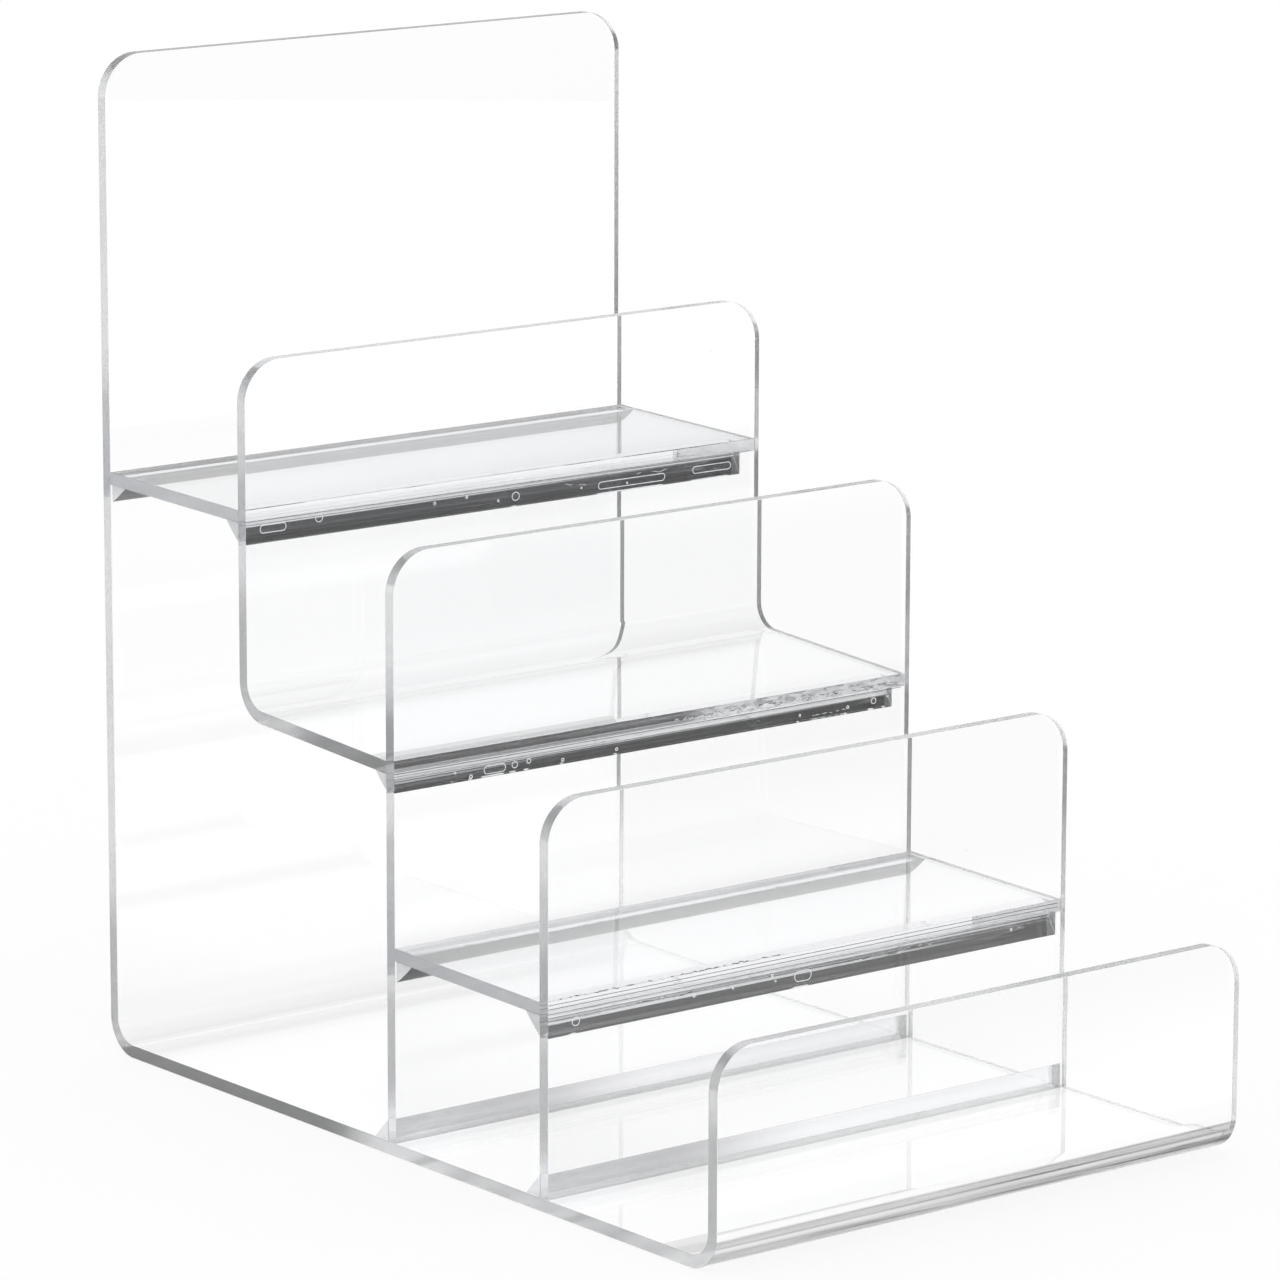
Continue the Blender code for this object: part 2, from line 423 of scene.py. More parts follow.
def bendPoints(before, corner, after, radius):
    into = (corner - before).normalized()
    out = (after - corner).normalized()
    turn = out.angle_signed(into)
    reach = radius * math.tan(abs(turn) / 2)
    start = corner - into * reach
    inward = Vector((-into.y, into.x)) * math.copysign(1, turn)
    centre = start + inward * radius
    steps = stock["bendSteps"]
    spoke = start - centre
    return [centre + Matrix.Rotation(turn * step / steps, 2) @ spoke for step in range(steps + 1)]


# One face of a bent sheet seen from the side, as (y, z) points, with its corners rounded
def sideView(corners, radii):
    corners = [Vector(corner) for corner in corners]
    line = [corners[0]]
    for before, corner, after, radius in zip(corners, corners[1:], corners[2:], radii):
        line += bendPoints(before, corner, after, radius)
    return line + [corners[-1]]


def addPiece(name, data, *materials):
    piece = bpy.data.objects.new(name, data)
    bpy.context.scene.collection.objects.link(piece)
    for material in materials:
        data.materials.append(material)
    return piece


def plainMesh(piece):
    graph = bpy.context.evaluated_depsgraph_get()
    mesh = bpy.data.meshes.new_from_object(piece.evaluated_get(graph), depsgraph=graph)
    piece.modifiers.clear()
    old = piece.data
    piece.data = mesh
    bpy.data.meshes.remove(old)
    mesh.name = piece.name


def addModifier(piece, name, kind, **settings):
    modifier = piece.modifiers.new(name, kind)
    for key, value in settings.items():
        setattr(modifier, key, value)
    return modifier


# Broken edges, and normals that keep the flats flat while the bends stay round
def finishEdges(piece, sizes):
    addModifier(piece, "broken edges", "BEVEL", limit_method="ANGLE", width=sizes["edgeBreak"],
                angle_limit=math.radians(sizes["edgeAngle"]), segments=2, use_clamp_overlap=True)
    addModifier(piece, "flat faces", "WEIGHTED_NORMAL", mode="FACE_AREA", weight=50, keep_sharp=False)
    plainMesh(piece)


# Gives the faces that the test picks a material of their own
def coatFaces(piece, material, test):
    piece.data.materials.append(material)
    for face in piece.data.polygons:
        if test(face):
            face.material_index = len(piece.data.materials) - 1


def bentSheet(name, line, freeEnds, faces, edges, bonded=None):
    mesh = bpy.data.meshes.new(name)
    shape = bmesh.new()
    points = [shape.verts.new((-halfWidth, y, z)) for y, z in line]
    ribs = [shape.edges.new(pair) for pair in zip(points, points[1:])]
    swept = bmesh.ops.extrude_edge_only(shape, edges=ribs)["geom"]
    farSide = [item for item in swept if isinstance(item, bmesh.types.BMVert)]
    bmesh.ops.translate(shape, verts=farSide, vec=(2 * halfWidth, 0, 0))
    bmesh.ops.reverse_faces(shape, faces=shape.faces)
    for face in shape.faces:
        face.smooth = True
    shape.to_mesh(mesh)
    shape.free()
    piece = addPiece(name, mesh, faces, edges)
    if freeEnds:
        corners = piece.vertex_groups.new(name="free corners")
        for vertex in mesh.vertices:
            if any((vertex.co.yz - line[end]).length < stock["sameSpot"] for end in freeEnds):
                corners.add([vertex.index], 1, "REPLACE")
        addModifier(piece, "rounded corners", "BEVEL", affect="VERTICES", limit_method="VGROUP",
                    vertex_group=corners.name, width=stock["cornerRadius"], segments=stock["cornerSteps"])
    addModifier(piece, "sheet thickness", "SOLIDIFY", thickness=stock["thickness"], offset=-1,
                use_even_offset=True, material_offset_rim=1)
    finishEdges(piece, stock)
    if bonded:
        facing = stock["facing"]
        coatFaces(piece, bonded, lambda face: face.material_index == 1 and abs(face.normal.y) > facing)
    return piece


def rideFor(piece, node):
    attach(piece, "root")
    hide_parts(node)


# The base sheet: front lip, floor and tall back panel in one bent piece
baseSheet = {
    **sheetFinish,
    "frontLipTop": 0.0495,
    "bend": 0.0060,           # inner radius of both bends
    "tint": (0.997, 0.998, 1.0),
    "dust": 0.7,
    "dark": (0.84, 0.85, 0.86),
    # painted light: heights between which the base sheet glows, and the base floor's stronger glow
    "paintedGlowBands": ((0.012, 0.5),),
    "floor": {"glow": 0.06, "paintedGlowBands": ((-0.003, 0.012),)},
    # painted shade: the front lip's right end is coloured dark, standing for the shade seen in it
    "lipEndPaintedDark": {"light": (0.20, 0.205, 0.21), "dark": (0.15, 0.155, 0.16)},
}


def buildBaseSheet():
    low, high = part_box("base_sheet")
    thick = stock["thickness"]
    outerBend = baseSheet["bend"] + thick
    corners = [(low.y, baseSheet["frontLipTop"]), (low.y, low.z), (high.y, low.z), (high.y, high.z)]
    line = sideView(corners, [outerBend, outerBend])
    axis = (low.y + outerBend, low.z + outerBend)
    faces = faceMaterial("clear acrylic, base sheet", {**baseSheet, "bendAxis": axis})
    edges = edgeMaterial("cut edge, base sheet", baseSheet)
    floor = faceMaterial("clear acrylic, base floor", {**baseSheet, **baseSheet["floor"]})
    lipEndPaintedDark = edgeMaterial("cut edge, front lip's right end", {**baseSheet, **baseSheet["lipEndPaintedDark"]})
    piece = bentSheet("baseSheet", line, [0, -1], faces, edges)

    def onFloor(face):
        upward = face.material_index == 0 and face.normal.z > stock["flat"]
        return upward and face.center.z < low.z + 2 * thick

    def onLipEnd(face):
        onLip = face.center.y < low.y + thick and face.center.z > axis[1]
        return onLip and face.normal.x > stock["flat"]

    coatFaces(piece, floor, onFloor)
    coatFaces(piece, lipEndPaintedDark, onLipEnd)
    rideFor(piece, "base_sheet")


# The step sheet: lip and riser of the top tray, and the floor of the upper tray
stepSheet = {
    **sheetFinish,
    "floorDrop": 0.0032,      # the floor falls this much to the front over its run
    "floorRun": 0.0560,
    "bend": 0.0060,
    "tint": (0.992, 0.995, 1.0),
    "dust": 0.8,
    "dark": (0.86, 0.87, 0.88),
    # painted light: heights between which the step sheet glows
    "paintedGlowBands": ((0.097, 0.129), (0.1395, 0.5)),
    # the front bond has crazing from the middle rightwards, is rougher there, and glows there with a
    # painted light
    "crazedWithPaintedGlow": {
        "haze": 0.6, "patch": 0.4, "reach": (0.004, 0.022), "colour": (0.90, 0.91, 0.93), "glow": 0.42,
    },
}


def buildStepSheet():
    low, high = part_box("step_sheet")
    thick = stock["thickness"]
    slope = math.atan2(stepSheet["floorDrop"], stepSheet["floorRun"])
    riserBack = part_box("middle_riser")[1].y
    frontEnd = riserBack - stock["bondOverlap"] + thick * math.sin(slope)
    cadFront = low.y + thick * math.sin(slope)
    rearLow = low.z + (high.y - cadFront) * math.tan(slope)
    frontLow = rearLow - (high.y - frontEnd) * math.tan(slope)
    corners = [(frontEnd, frontLow), (high.y, rearLow), (high.y, high.z)]
    line = sideView(corners, [stepSheet["bend"] + thick])
    faces = faceMaterial("clear acrylic, step sheet", stepSheet)
    edges = edgeMaterial("cut edge, step sheet", stepSheet)
    crazedWithPaintedGlow = stripMaterial("crazed bonded edge", strips, stepSheet["crazedWithPaintedGlow"])
    piece = bentSheet("stepSheet", line, [-1], faces, edges, crazedWithPaintedGlow)
    rideFor(piece, "step_sheet")
    return math.tan(slope)


# The two flat risers that stand on the base
risers = {
    **sheetFinish,
    "tint": (0.997, 0.998, 1.0),
    "dust": 0.6,
    "dark": (0.88, 0.89, 0.90),
    # painted light: heights between which each riser glows
    "middlePaintedGlowBands": ((0.050, 0.0785), (0.0925, 0.5)),
    "frontBands": ((0.0485, 0.5),),
}


def buildRisers():
    edges = edgeMaterial("cut edge, risers", risers)
    for name, node, bands in (
        ("middleRiser", "middle_riser", "middlePaintedGlowBands"),
        ("frontRiser", "front_riser", "frontBands"),
    ):
        finish = {**risers, "paintedGlowBands": risers[bands]}
        faces = faceMaterial("clear acrylic, " + node.replace("_", " "), finish)
        low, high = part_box(node)
        foot = stock["thickness"] - stock["bondOverlap"]
        line = [Vector((low.y, high.z)), Vector((low.y, foot))]
        piece = bentSheet(name, line, [0], faces, edges)
        rideFor(piece, node)


# The flat floors of the top and lower trays
floors = {
    **sheetFinish,
    "lean": 0.0011,           # bonded by hand, each stands this much higher at the back
    "topTint": (0.985, 0.99, 1.0),
    "lowerTint": (0.99, 0.993, 1.0),
    "dust": 0.9,
    "haze": 0.004,
    "dark": (0.88, 0.89, 0.90),
}
floorSlope = floors["lean"] / (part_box("top_shelf")[1].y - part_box("top_shelf")[0].y)


def buildFloors():
    edges = edgeMaterial("cut edge, tray floors", floors)
    for name, node, tint in (
        ("topShelf", "top_shelf", "topTint"),
        ("lowerShelf", "lower_shelf", "lowerTint"),
    ):
        finish = {**floors, "tint": floors[tint]}
        faces = faceMaterial("clear acrylic, " + node.replace("_", " "), finish)
        low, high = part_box(node)
        slip = stock["thickness"] * floorSlope
        rear = Vector((high.y + bondReach + slip, low.z + floors["lean"]))
        piece = bentSheet(name, [Vector((low.y - bondReach, low.z)), rear], [], faces, edges, bondedEdge)
        rideFor(piece, node)


# Three-sided strips in the bonded corners. A drawn strip's open face is slightly crowned.
strips = {
    "crown": 0.000136,
    "crownSteps": 16,
    "edgeBreak": 0.00010,
    "edgeAngle": 30,
    "sideShare": 0.95,        # a face is the open one if its normal has this share of the open side
    "light": (0.99, 0.993, 1.0),
    "dark": (0.96, 0.965, 0.975),
    "shine": 0.05,
    "rough": (0.001, 0.003),
    "lines": 0.000080,
    "patchStretch": (0.3, 1, 1),
    "patchScale": 900.0,
    "patchEdge": (0.4, 0.6),
    # painted shade: the rear strips' open faces are coloured near black, standing for the dark that shows
    # in them
    "rear": {"light": (0.006, 0.0065, 0.007), "dark": (0.002, 0.0022, 0.0025), "shine": 0.0},
    # painted light: the foot strips' open faces glow paler towards the left end
    "foot": {
        "haze": 0.0, "patch": 0.9, "reach": (-0.026, -0.068), "colour": (0.95, 0.97, 1.0), "glow": 0.40,
    },
    # the sawn ends are whiter than a sheet's scraped edge
    "end": {"light": (0.99, 0.993, 1.0), "dark": (0.78, 0.79, 0.8), "clear": 0.35},
}


# A strip's outline at both of its ends, joined side by side in a fixed order
def stripSolid(name, corner, acrossY, acrossZ, short, faces, ends, openFace):
    start = corner + acrossY
    finish = corner + acrossZ
    chord = finish - start
    outward = Vector((chord.y, -chord.x)).normalized()
    if outward.dot(start - corner) < 0:
        outward = -outward
    steps = strips["crownSteps"]
    outline = [corner]
    for step in range(steps + 1):
        share = step / steps
        outline.append(start + chord * share + outward * strips["crown"] * 4 * share * (1 - share))
    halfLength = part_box("top_front_strip")[1].x
    mesh = bpy.data.meshes.new(name)
    shape = bmesh.new()
    near = [shape.verts.new((-halfLength, y, z)) for y, z in outline]
    far = [shape.verts.new((halfLength - short, y, z)) for y, z in outline]
    shape.faces.new(near)
    shape.faces.new(far)
    for place in range(len(outline)):
        shape.faces.new((near[place - 1], near[place], far[place], far[place - 1]))
    bmesh.ops.recalc_face_normals(shape, faces=shape.faces)
    for face in shape.faces:
        face.smooth = True
        face.material_index = 1 if abs(face.normal.x) > stock["facing"] else 0
    shape.to_mesh(mesh)
    shape.free()
    piece = addPiece(name, mesh, faces, ends)
    finishEdges(piece, strips)
    side = strips["sideShare"]
    coatFaces(piece, openFace, lambda face: face.material_index == 0 and face.normal.yz.dot(outward) > side)
    return piece


# Each strip lies in the corner of its CAD solid. Its legs run from there towards +Y or -Y and +Z
# or -Z, and it may stop short of the right end.
def buildStrips(stepSlope):
    clear = stripMaterial("drawn strip", strips)
    stripPaintedDark = stripMaterial("smoky drawn strip", {**strips, **strips["rear"]})
    footPaintedGlow = stripMaterial("foot strip's open face", strips, strips["foot"])
    ends = edgeMaterial("strip end", {**sheetFinish, **strips["end"]})
    tilts = {"upper": stepSlope, "top": floorSlope, "lower": floorSlope}
    for name, node, towardY, towardZ, legY, legZ, short in (
        ("topRearStrip", "top_rear_strip", -1, -1, 0.0050, 0.0038, 0.0),
        ("topFrontStrip", "top_front_strip", 1, -1, 0.0052, 0.0049, 0.0040),
        ("upperFrontStrip", "upper_front_strip", 1, -1, 0.0045, 0.0042, 0.0034),
        ("lowerRearStrip", "lower_rear_strip", -1, -1, 0.0054, 0.0046, 0.0),
        ("lowerFrontStrip", "lower_front_strip", 1, -1, 0.0055, 0.0050, 0.0010),
        ("middleFootStrip", "middle_foot_strip", 1, 1, 0.0050, 0.0050, 0.0),
        ("frontFootStrip", "front_foot_strip", 1, 1, 0.0050, 0.0050, 0.0),
    ):
        low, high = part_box(node)
        y = low.y if towardY > 0 else high.y
        z = low.z if towardZ > 0 else high.z
        corner = Vector((y - towardY * bondReach, z - towardZ * bondReach))
        if towardY < 0:
            corner += Vector((0, floors["lean"]))
        tilt = tilts.get(node.split("_")[0], 0.0)
        acrossY = Vector((1, tilt)) * towardY * (legY + bondReach)
        acrossZ = Vector((0, towardZ * (legZ + bondReach)))
        openFace = footPaintedGlow if towardZ > 0 else (stripPaintedDark if towardY < 0 else clear)
        piece = stripSolid(name, corner, acrossY, acrossZ, short, clear, ends, openFace)
        rideFor(piece, node)


bondedEdge = stripMaterial("bonded edge", strips)
buildBaseSheet()
stepSlope = buildStepSheet()
buildRisers()
buildFloors()
print("sheets built")
buildStrips(stepSlope)
print("strips built")

# Bubbles and thin cracks in the cement of the strips. Each mark is (x, z, half length, half height,
# rise per length), in millimetres, just behind the sheet that the strip is bonded to.
bondMarks = {
    "tube": 0.0001,           # metres, the radius of the thread that draws a rim or a crack
    "seamGirth": 0.8,
    "crackleGirth": 1.2,
    "depth": 0.00022,         # metres behind the sheet's bonded face
    "rearDepth": 0.0002,
    "rings": {
        "topFrontStrip": (
            (-66.05, 133.3, 3.6, 0.9, 0), (-53.2, 134.1, 1.0, 0.9, 0), (3.2, 132.5, 1.05, 0.95, 0),
            (37.7, 132.1, 10.0, 0.85, 0), (62.0, 132.6, 5.8, 0.85, 0),
        ),
        "upperFrontStrip": (
            (-45.6, 84.57, 3.0, 0.9, 0), (-39.96, 84.7, 0.75, 0.7, 0), (-36.0, 85.0, 0.55, 0.5, 0),
            (-26.35, 83.9, 0.35, 0.35, 0), (-52.3, 83.7, 0.4, 0.35, 0), (65.57, 85.0, 0.7, 0.65, 0),
        ),
        "lowerFrontStrip": ((-65.9, 41.4, 1.0, 0.9, 0), (-1.8, 41.25, 2.4, 1.2, 0)),
    },
    "cracks": {
        "topFrontStrip": ((20.2, 133.4, 3.9, 0.25, -0.11), (46.2, 133.6, 7.0, 0.5, 0.02)),
        "upperFrontStrip": ((29.6, 84.7, 1.6, 0.3, 0.1), (52.0, 84.2, 5.0, 0.3, 0)),
        "lowerFrontStrip": ((-40.0, 42.6, 9.0, 0.35, 0), (24.0, 42.4, 12.0, 0.4, 0)),
        "lowerRearStrip": (
            (-58.8, 44.8, 1.9, 0.1, 0), (-50.1, 44.8, 0.9, 0.1, 0), (-40.8, 44.8, 1.0, 0.1, 0),
            (-24.9, 44.8, 2.8, 0.1, 0), (-4.4, 44.8, 1.8, 0.1, 0), (19.4, 44.8, 1.9, 0.1, 0),
            (30.1, 44.8, 1.5, 0.1, 0), (41.3, 44.8, 1.4, 0.1, 0), (58.3, 44.8, 1.2, 0.1, 0),
        ),
    },
    # Lines of cement along the front joints: height, waviness, and how far short of the right end
    "seams": {
        "topFrontStrip": ((138.25, 0.05, 0), (135.4, 0.05, 0), (134.6, 0.02, 4)),
        "upperFrontStrip": ((90.15, 0.05, 0), (87.15, 0.06, 0), (85.9, 0.02, 3.4)),
        "lowerFrontStrip": (
            (46.1, 0.02, 0), (45.2, 0.02, 0), (44.05, 0.06, 0), (43.2, 0.02, 1), (42.6, 0.02, 1),
        ),
    },
    # Rows of cracks: where each starts and ends along X, its height, waviness and number
    "crackle": {
        "lowerFrontStrip": (-73.0, -10.0, 47.1, 0.22, 9),
        "upperFrontStrip": (6.0, 69.0, 88.5, 0.45, 8),
    },
    "crackleOverlap": 0.52,
    "seamEnd": 0.001,         # metres, how far inside the sheet's ends a cement line stops
    "strayCount": 5,          # small round bubbles that each strip has besides
    "straySize": (0.00016, 0.00036),
    "strayEnd": 0.004,
    "strayLift": 0.0003,
    "strayRise": 0.0012,
    "seed": 11,
    "riseSeed": 5,
    "sizeSeed": 9,
    "ringSteps": 24,
    "crackSteps": 26,
    "threadSides": 5,
    "threadRadius": 0.1,      # of the unit wire
    "waveScale": 2.4,
    "waveDetail": 3.0,
    "waveShift": 900.0,       # takes each mark to another part of the noise
    "waveDepth": 5.0,
    # painted light: how strongly the bubble rims and the cracks glow
    "glow": 0.75,
    "crackPaintedGlow": 0.35,
    "rimSharp": 0.2,
    "crackSharp": 0.06,
    "cloudScale": 650.0,
    "rough": (0.25, 0.5),
    "white": (0.93, 0.94, 0.95),
    "pearl": (0.78, 0.79, 0.80),
    "cement": (0.08, 0.085, 0.09),
    "seamLight": (0.30, 0.31, 0.32),
}
ring, crack, seam = 0.0, 1.0, 2.0


def namedValue(tree, name, kind="FLOAT"):
    node = addNode(tree, "GeometryNodeInputNamedAttribute", {"Name": name}, data_type=kind)
    return node.outputs["Attribute"]


def storeValue(tree, geometry, name, value, kind="FLOAT", selection=None):
    inputs = {"Geometry": geometry, "Name": name, "Value": value, "Selection": selection}
    node = addNode(tree, "GeometryNodeStoreNamedAttribute", inputs, data_type=kind, domain="POINT")
    return node.outputs["Geometry"]


def randomValue(tree, low, high, seed):
    inputs = {2: low, 3: high, 8: seed}
    return addNode(tree, "FunctionNodeRandomValue", inputs, data_type="FLOAT").outputs[1]


def currentPosition(tree):
    return addNode(tree, "GeometryNodeInputPosition").outputs["Position"]


# A thin wire of unit size: round a circle for a bubble, or from end to end for a crack
def unitWire(tree, closed):
    if closed:
        path = addNode(tree, "GeometryNodeCurvePrimitiveCircle", {"Resolution": bondMarks["ringSteps"]})
    else:
        line = addNode(tree, "GeometryNodeCurvePrimitiveLine", {"Start": (-1, 0, 0), "End": (1, 0, 0)})
        inputs = {"Curve": line.outputs["Curve"], "Count": bondMarks["crackSteps"]}
        path = addNode(tree, "GeometryNodeResampleCurve", inputs)
    inputs = {"Resolution": bondMarks["threadSides"], "Radius": bondMarks["threadRadius"]}
    rim = addNode(tree, "GeometryNodeCurvePrimitiveCircle", inputs)
    inputs = {"Curve": path.outputs["Curve"], "Profile Curve": rim.outputs["Curve"], "Fill Caps": True}
    return addNode(tree, "GeometryNodeCurveToMesh", inputs).outputs["Mesh"]


# Copies the stray bubbles' points and spreads them at random. Every point keeps its own place.
def scatterMarks(tree, given):
    isStray = mathNode(tree, "GREATER_THAN", namedValue(tree, "strays"), 0.5)
    amount = mathNode(tree, "MAXIMUM", namedValue(tree, "strays"), 1.0)
    inputs = {"Geometry": given["Geometry"], "Amount": amount}
    copies = addNode(tree, "GeometryNodeDuplicateElements", inputs, domain="POINT")
    span, rise = given["Half width"], bondMarks["strayRise"]
    shiftX = randomValue(tree, mathNode(tree, "MULTIPLY", span, -1.0), span, given["Seed"])
    shiftZ = randomValue(tree, -rise, rise, bondMarks["riseSeed"])
    shiftX = mathNode(tree, "MULTIPLY", shiftX, isStray)
    shiftZ = mathNode(tree, "MULTIPLY", shiftZ, isStray)
    inputs = {"Geometry": copies.outputs["Geometry"], "Offset": combined(tree, shiftX, None, shiftZ)}
    points = addNode(tree, "GeometryNodeSetPosition", inputs).outputs["Geometry"]
    size = randomValue(tree, given["Smallest"], given["Largest"], bondMarks["sizeSeed"])
    for name in ("halfLength", "halfHeight"):
        points = storeValue(tree, points, name, size, selection=isStray)
    return storeValue(tree, points, "middle", currentPosition(tree), "FLOAT_VECTOR")


# A closed wire on each ring's point and an open one on every other
def wirePoints(tree, points):
    isCrack = mathNode(tree, "GREATER_THAN", namedValue(tree, "kind"), (ring + crack) / 2)
    joined = addNode(tree, "GeometryNodeJoinGeometry")
    for closed, chosen in ((True, mathNode(tree, "SUBTRACT", 1.0, isCrack)), (False, isCrack)):
        inputs = {"Points": points, "Selection": chosen, "Instance": unitWire(tree, closed)}
        spots = addNode(tree, "GeometryNodeInstanceOnPoints", inputs)
        tree.links.new(spots.outputs["Instances"], joined.inputs["Geometry"])
    inputs = {"Geometry": joined.outputs["Geometry"]}
    return addNode(tree, "GeometryNodeRealizeInstances", inputs).outputs["Geometry"]


# Gives each unit wire its mark's size: rings with straight sides, cracks and seams with waves
def shapeWires(tree, given, wires):
    middle = namedValue(tree, "middle", "FLOAT_VECTOR")
    local = vectorNode(tree, "SUBTRACT", currentPosition(tree), middle)
    along, up, out = separated(tree, local.outputs["Vector"])
    length, height = namedValue(tree, "halfLength"), namedValue(tree, "halfHeight")
    tube = mathNode(tree, "MULTIPLY", given["Tube"], 1 / bondMarks["threadRadius"])
    tube = mathNode(tree, "MULTIPLY", tube, namedValue(tree, "girth"))
    radius = lengthNode(tree, along, up)
    swell = mathNode(tree, "MULTIPLY_ADD", mathNode(tree, "SUBTRACT", radius, 1.0), tube, height)
    straight = mathNode(tree, "MAXIMUM", mathNode(tree, "SUBTRACT", length, height), 0.0)
    ringX = mathNode(tree, "MULTIPLY", mathNode(tree, "DIVIDE", along, radius), swell)
    ringX = mathNode(tree, "MULTIPLY_ADD", mathNode(tree, "SIGN", along), straight, ringX)
    ringZ = mathNode(tree, "MULTIPLY", mathNode(tree, "DIVIDE", up, radius), swell)
    distant = vectorNode(tree, "SCALE", middle)
    distant.inputs["Scale"].default_value = bondMarks["waveShift"]
    start = vectorNode(tree, "ADD", distant.outputs["Vector"], combined(tree, along, None, None))
    wave = noiseNode(tree, start.outputs["Vector"], bondMarks["waveScale"], bondMarks["waveDetail"])
    wave = mathNode(tree, "MULTIPLY", mathNode(tree, "SUBTRACT", wave, 0.5), bondMarks["waveDepth"])
    crackX = mathNode(tree, "MULTIPLY", along, length)
    crackZ = mathNode(tree, "MULTIPLY_ADD", wave, height, mathNode(tree, "MULTIPLY", up, tube))
    crackZ = mathNode(tree, "MULTIPLY_ADD", crackX, namedValue(tree, "rise"), crackZ)
    isCrack = mathNode(tree, "GREATER_THAN", namedValue(tree, "kind"), (ring + crack) / 2)
    x = chooseNode(tree, isCrack, ringX, crackX)
    y = mathNode(tree, "MULTIPLY", out, mathNode(tree, "MULTIPLY", tube, -1.0))
    z = chooseNode(tree, isCrack, ringZ, crackZ)
    moved = vectorNode(tree, "ADD", middle, combined(tree, x, y, z))
    inputs = {"Geometry": wires, "Position": moved.outputs["Vector"]}
    return addNode(tree, "GeometryNodeSetPosition", inputs).outputs["Geometry"]


def coatWires(tree, given, wires):
    kind = namedValue(tree, "kind")
    for label, above in (("Rims", ring - 1), ("Cracks", (ring + crack) / 2), ("Seams", (crack + seam) / 2)):
        chosen = mathNode(tree, "GREATER_THAN", kind, above)
        inputs = {"Geometry": wires, "Selection": chosen, "Material": given[label]}
        wires = addNode(tree, "GeometryNodeSetMaterial", inputs).outputs["Geometry"]
    return wires


def makeMarkTree():
    tree = bpy.data.node_groups.new("bondMarks", "GeometryNodeTree")
    for label, kind in (
        ("Geometry", "Geometry"), ("Tube", "Float"), ("Smallest", "Float"), ("Largest", "Float"),
        ("Half width", "Float"), ("Seed", "Int"), ("Rims", "Material"), ("Cracks", "Material"),
        ("Seams", "Material"),
    ):
        tree.interface.new_socket(label, in_out="INPUT", socket_type="NodeSocket" + kind)
    tree.interface.new_socket("Geometry", in_out="OUTPUT", socket_type="NodeSocketGeometry")
    given = addNode(tree, "NodeGroupInput").outputs
    wires = wirePoints(tree, scatterMarks(tree, given))
    marks = coatWires(tree, given, shapeWires(tree, given, wires))
    addNode(tree, "NodeGroupOutput", {"Geometry": marks})
    return tree


# Painted light: the rims of bubbles and the cracks glow with an emission, standing for the light that
# gathers in them, so they show in the dark of a strip
def markMaterial(name, light, dark, sharp, glow):
    material, tree, shader, place = newMaterial(name)
    cloud = noiseNode(tree, place, bondMarks["cloudScale"])
    cloud = rampNode(tree, cloud, 0.0, 1.0, 0.5 - sharp, 0.5 + sharp)
    colour = blendNode(tree, light, dark, cloud)
    rough = rampNode(tree, cloud, *bondMarks["rough"])
    fill(tree, shader, {"Base Color": colour, "Roughness": rough})
    fill(tree, shader, {"Emission Color": colour, "Emission Strength": glow})
    return material


def markRow(place, halfLength, halfHeight, kind, **others):
    row = {"place": place, "halfLength": halfLength, "halfHeight": halfHeight, "kind": kind}
    return {**row, "rise": 0.0, "strays": 0.0, "girth": 1.0, **others}


def stripBox(strip):
    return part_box(strip.replace("Front", "_front").replace("Rear", "_rear").replace("Strip", "_strip"))


def listMarks():
    rows = []
    depth = bondMarks["depth"]
    for kind, marks in ((ring, bondMarks["rings"]), (crack, bondMarks["cracks"])):
        for strip, places in marks.items():
            low = stripBox(strip)[0]
            y = low.y - stock["bondGap"] + depth if "Front" in strip else low.y + bondMarks["rearDepth"]
            for *sizes, rise in places:
                x, z, length, height = (size / 1000 for size in sizes)
                rows.append(markRow((x, y, z), length, height, kind, rise=rise))
    for strip, seams in bondMarks["seams"].items():
        low, high = stripBox(strip)
        y = low.y - stock["bondGap"] + depth / 2
        for z, wave, short in seams:
            place = (-short / 2000, y, z / 1000)
            length = halfWidth - bondMarks["seamEnd"] - short / 2000
            rows.append(markRow(place, length, wave / 1000, seam, girth=bondMarks["seamGirth"]))
        middle = (0, y + depth / 2, (low.z + high.z) / 2 + bondMarks["strayLift"])
        rows.append(markRow(middle, 0.0, 0.0, ring, strays=bondMarks["strayCount"]))
        if strip in bondMarks["crackle"]:
            start, end, z, wave, count = bondMarks["crackle"][strip]
            half = (end - start) / count * bondMarks["crackleOverlap"]
            girth = bondMarks["crackleGirth"]
            for part in range(count):
                place = ((start + half * (2 * part + 1)) / 1000, y, z / 1000)
                rows.append(markRow(place, half / 1000, wave / 1000, crack, girth=girth))
    return rows


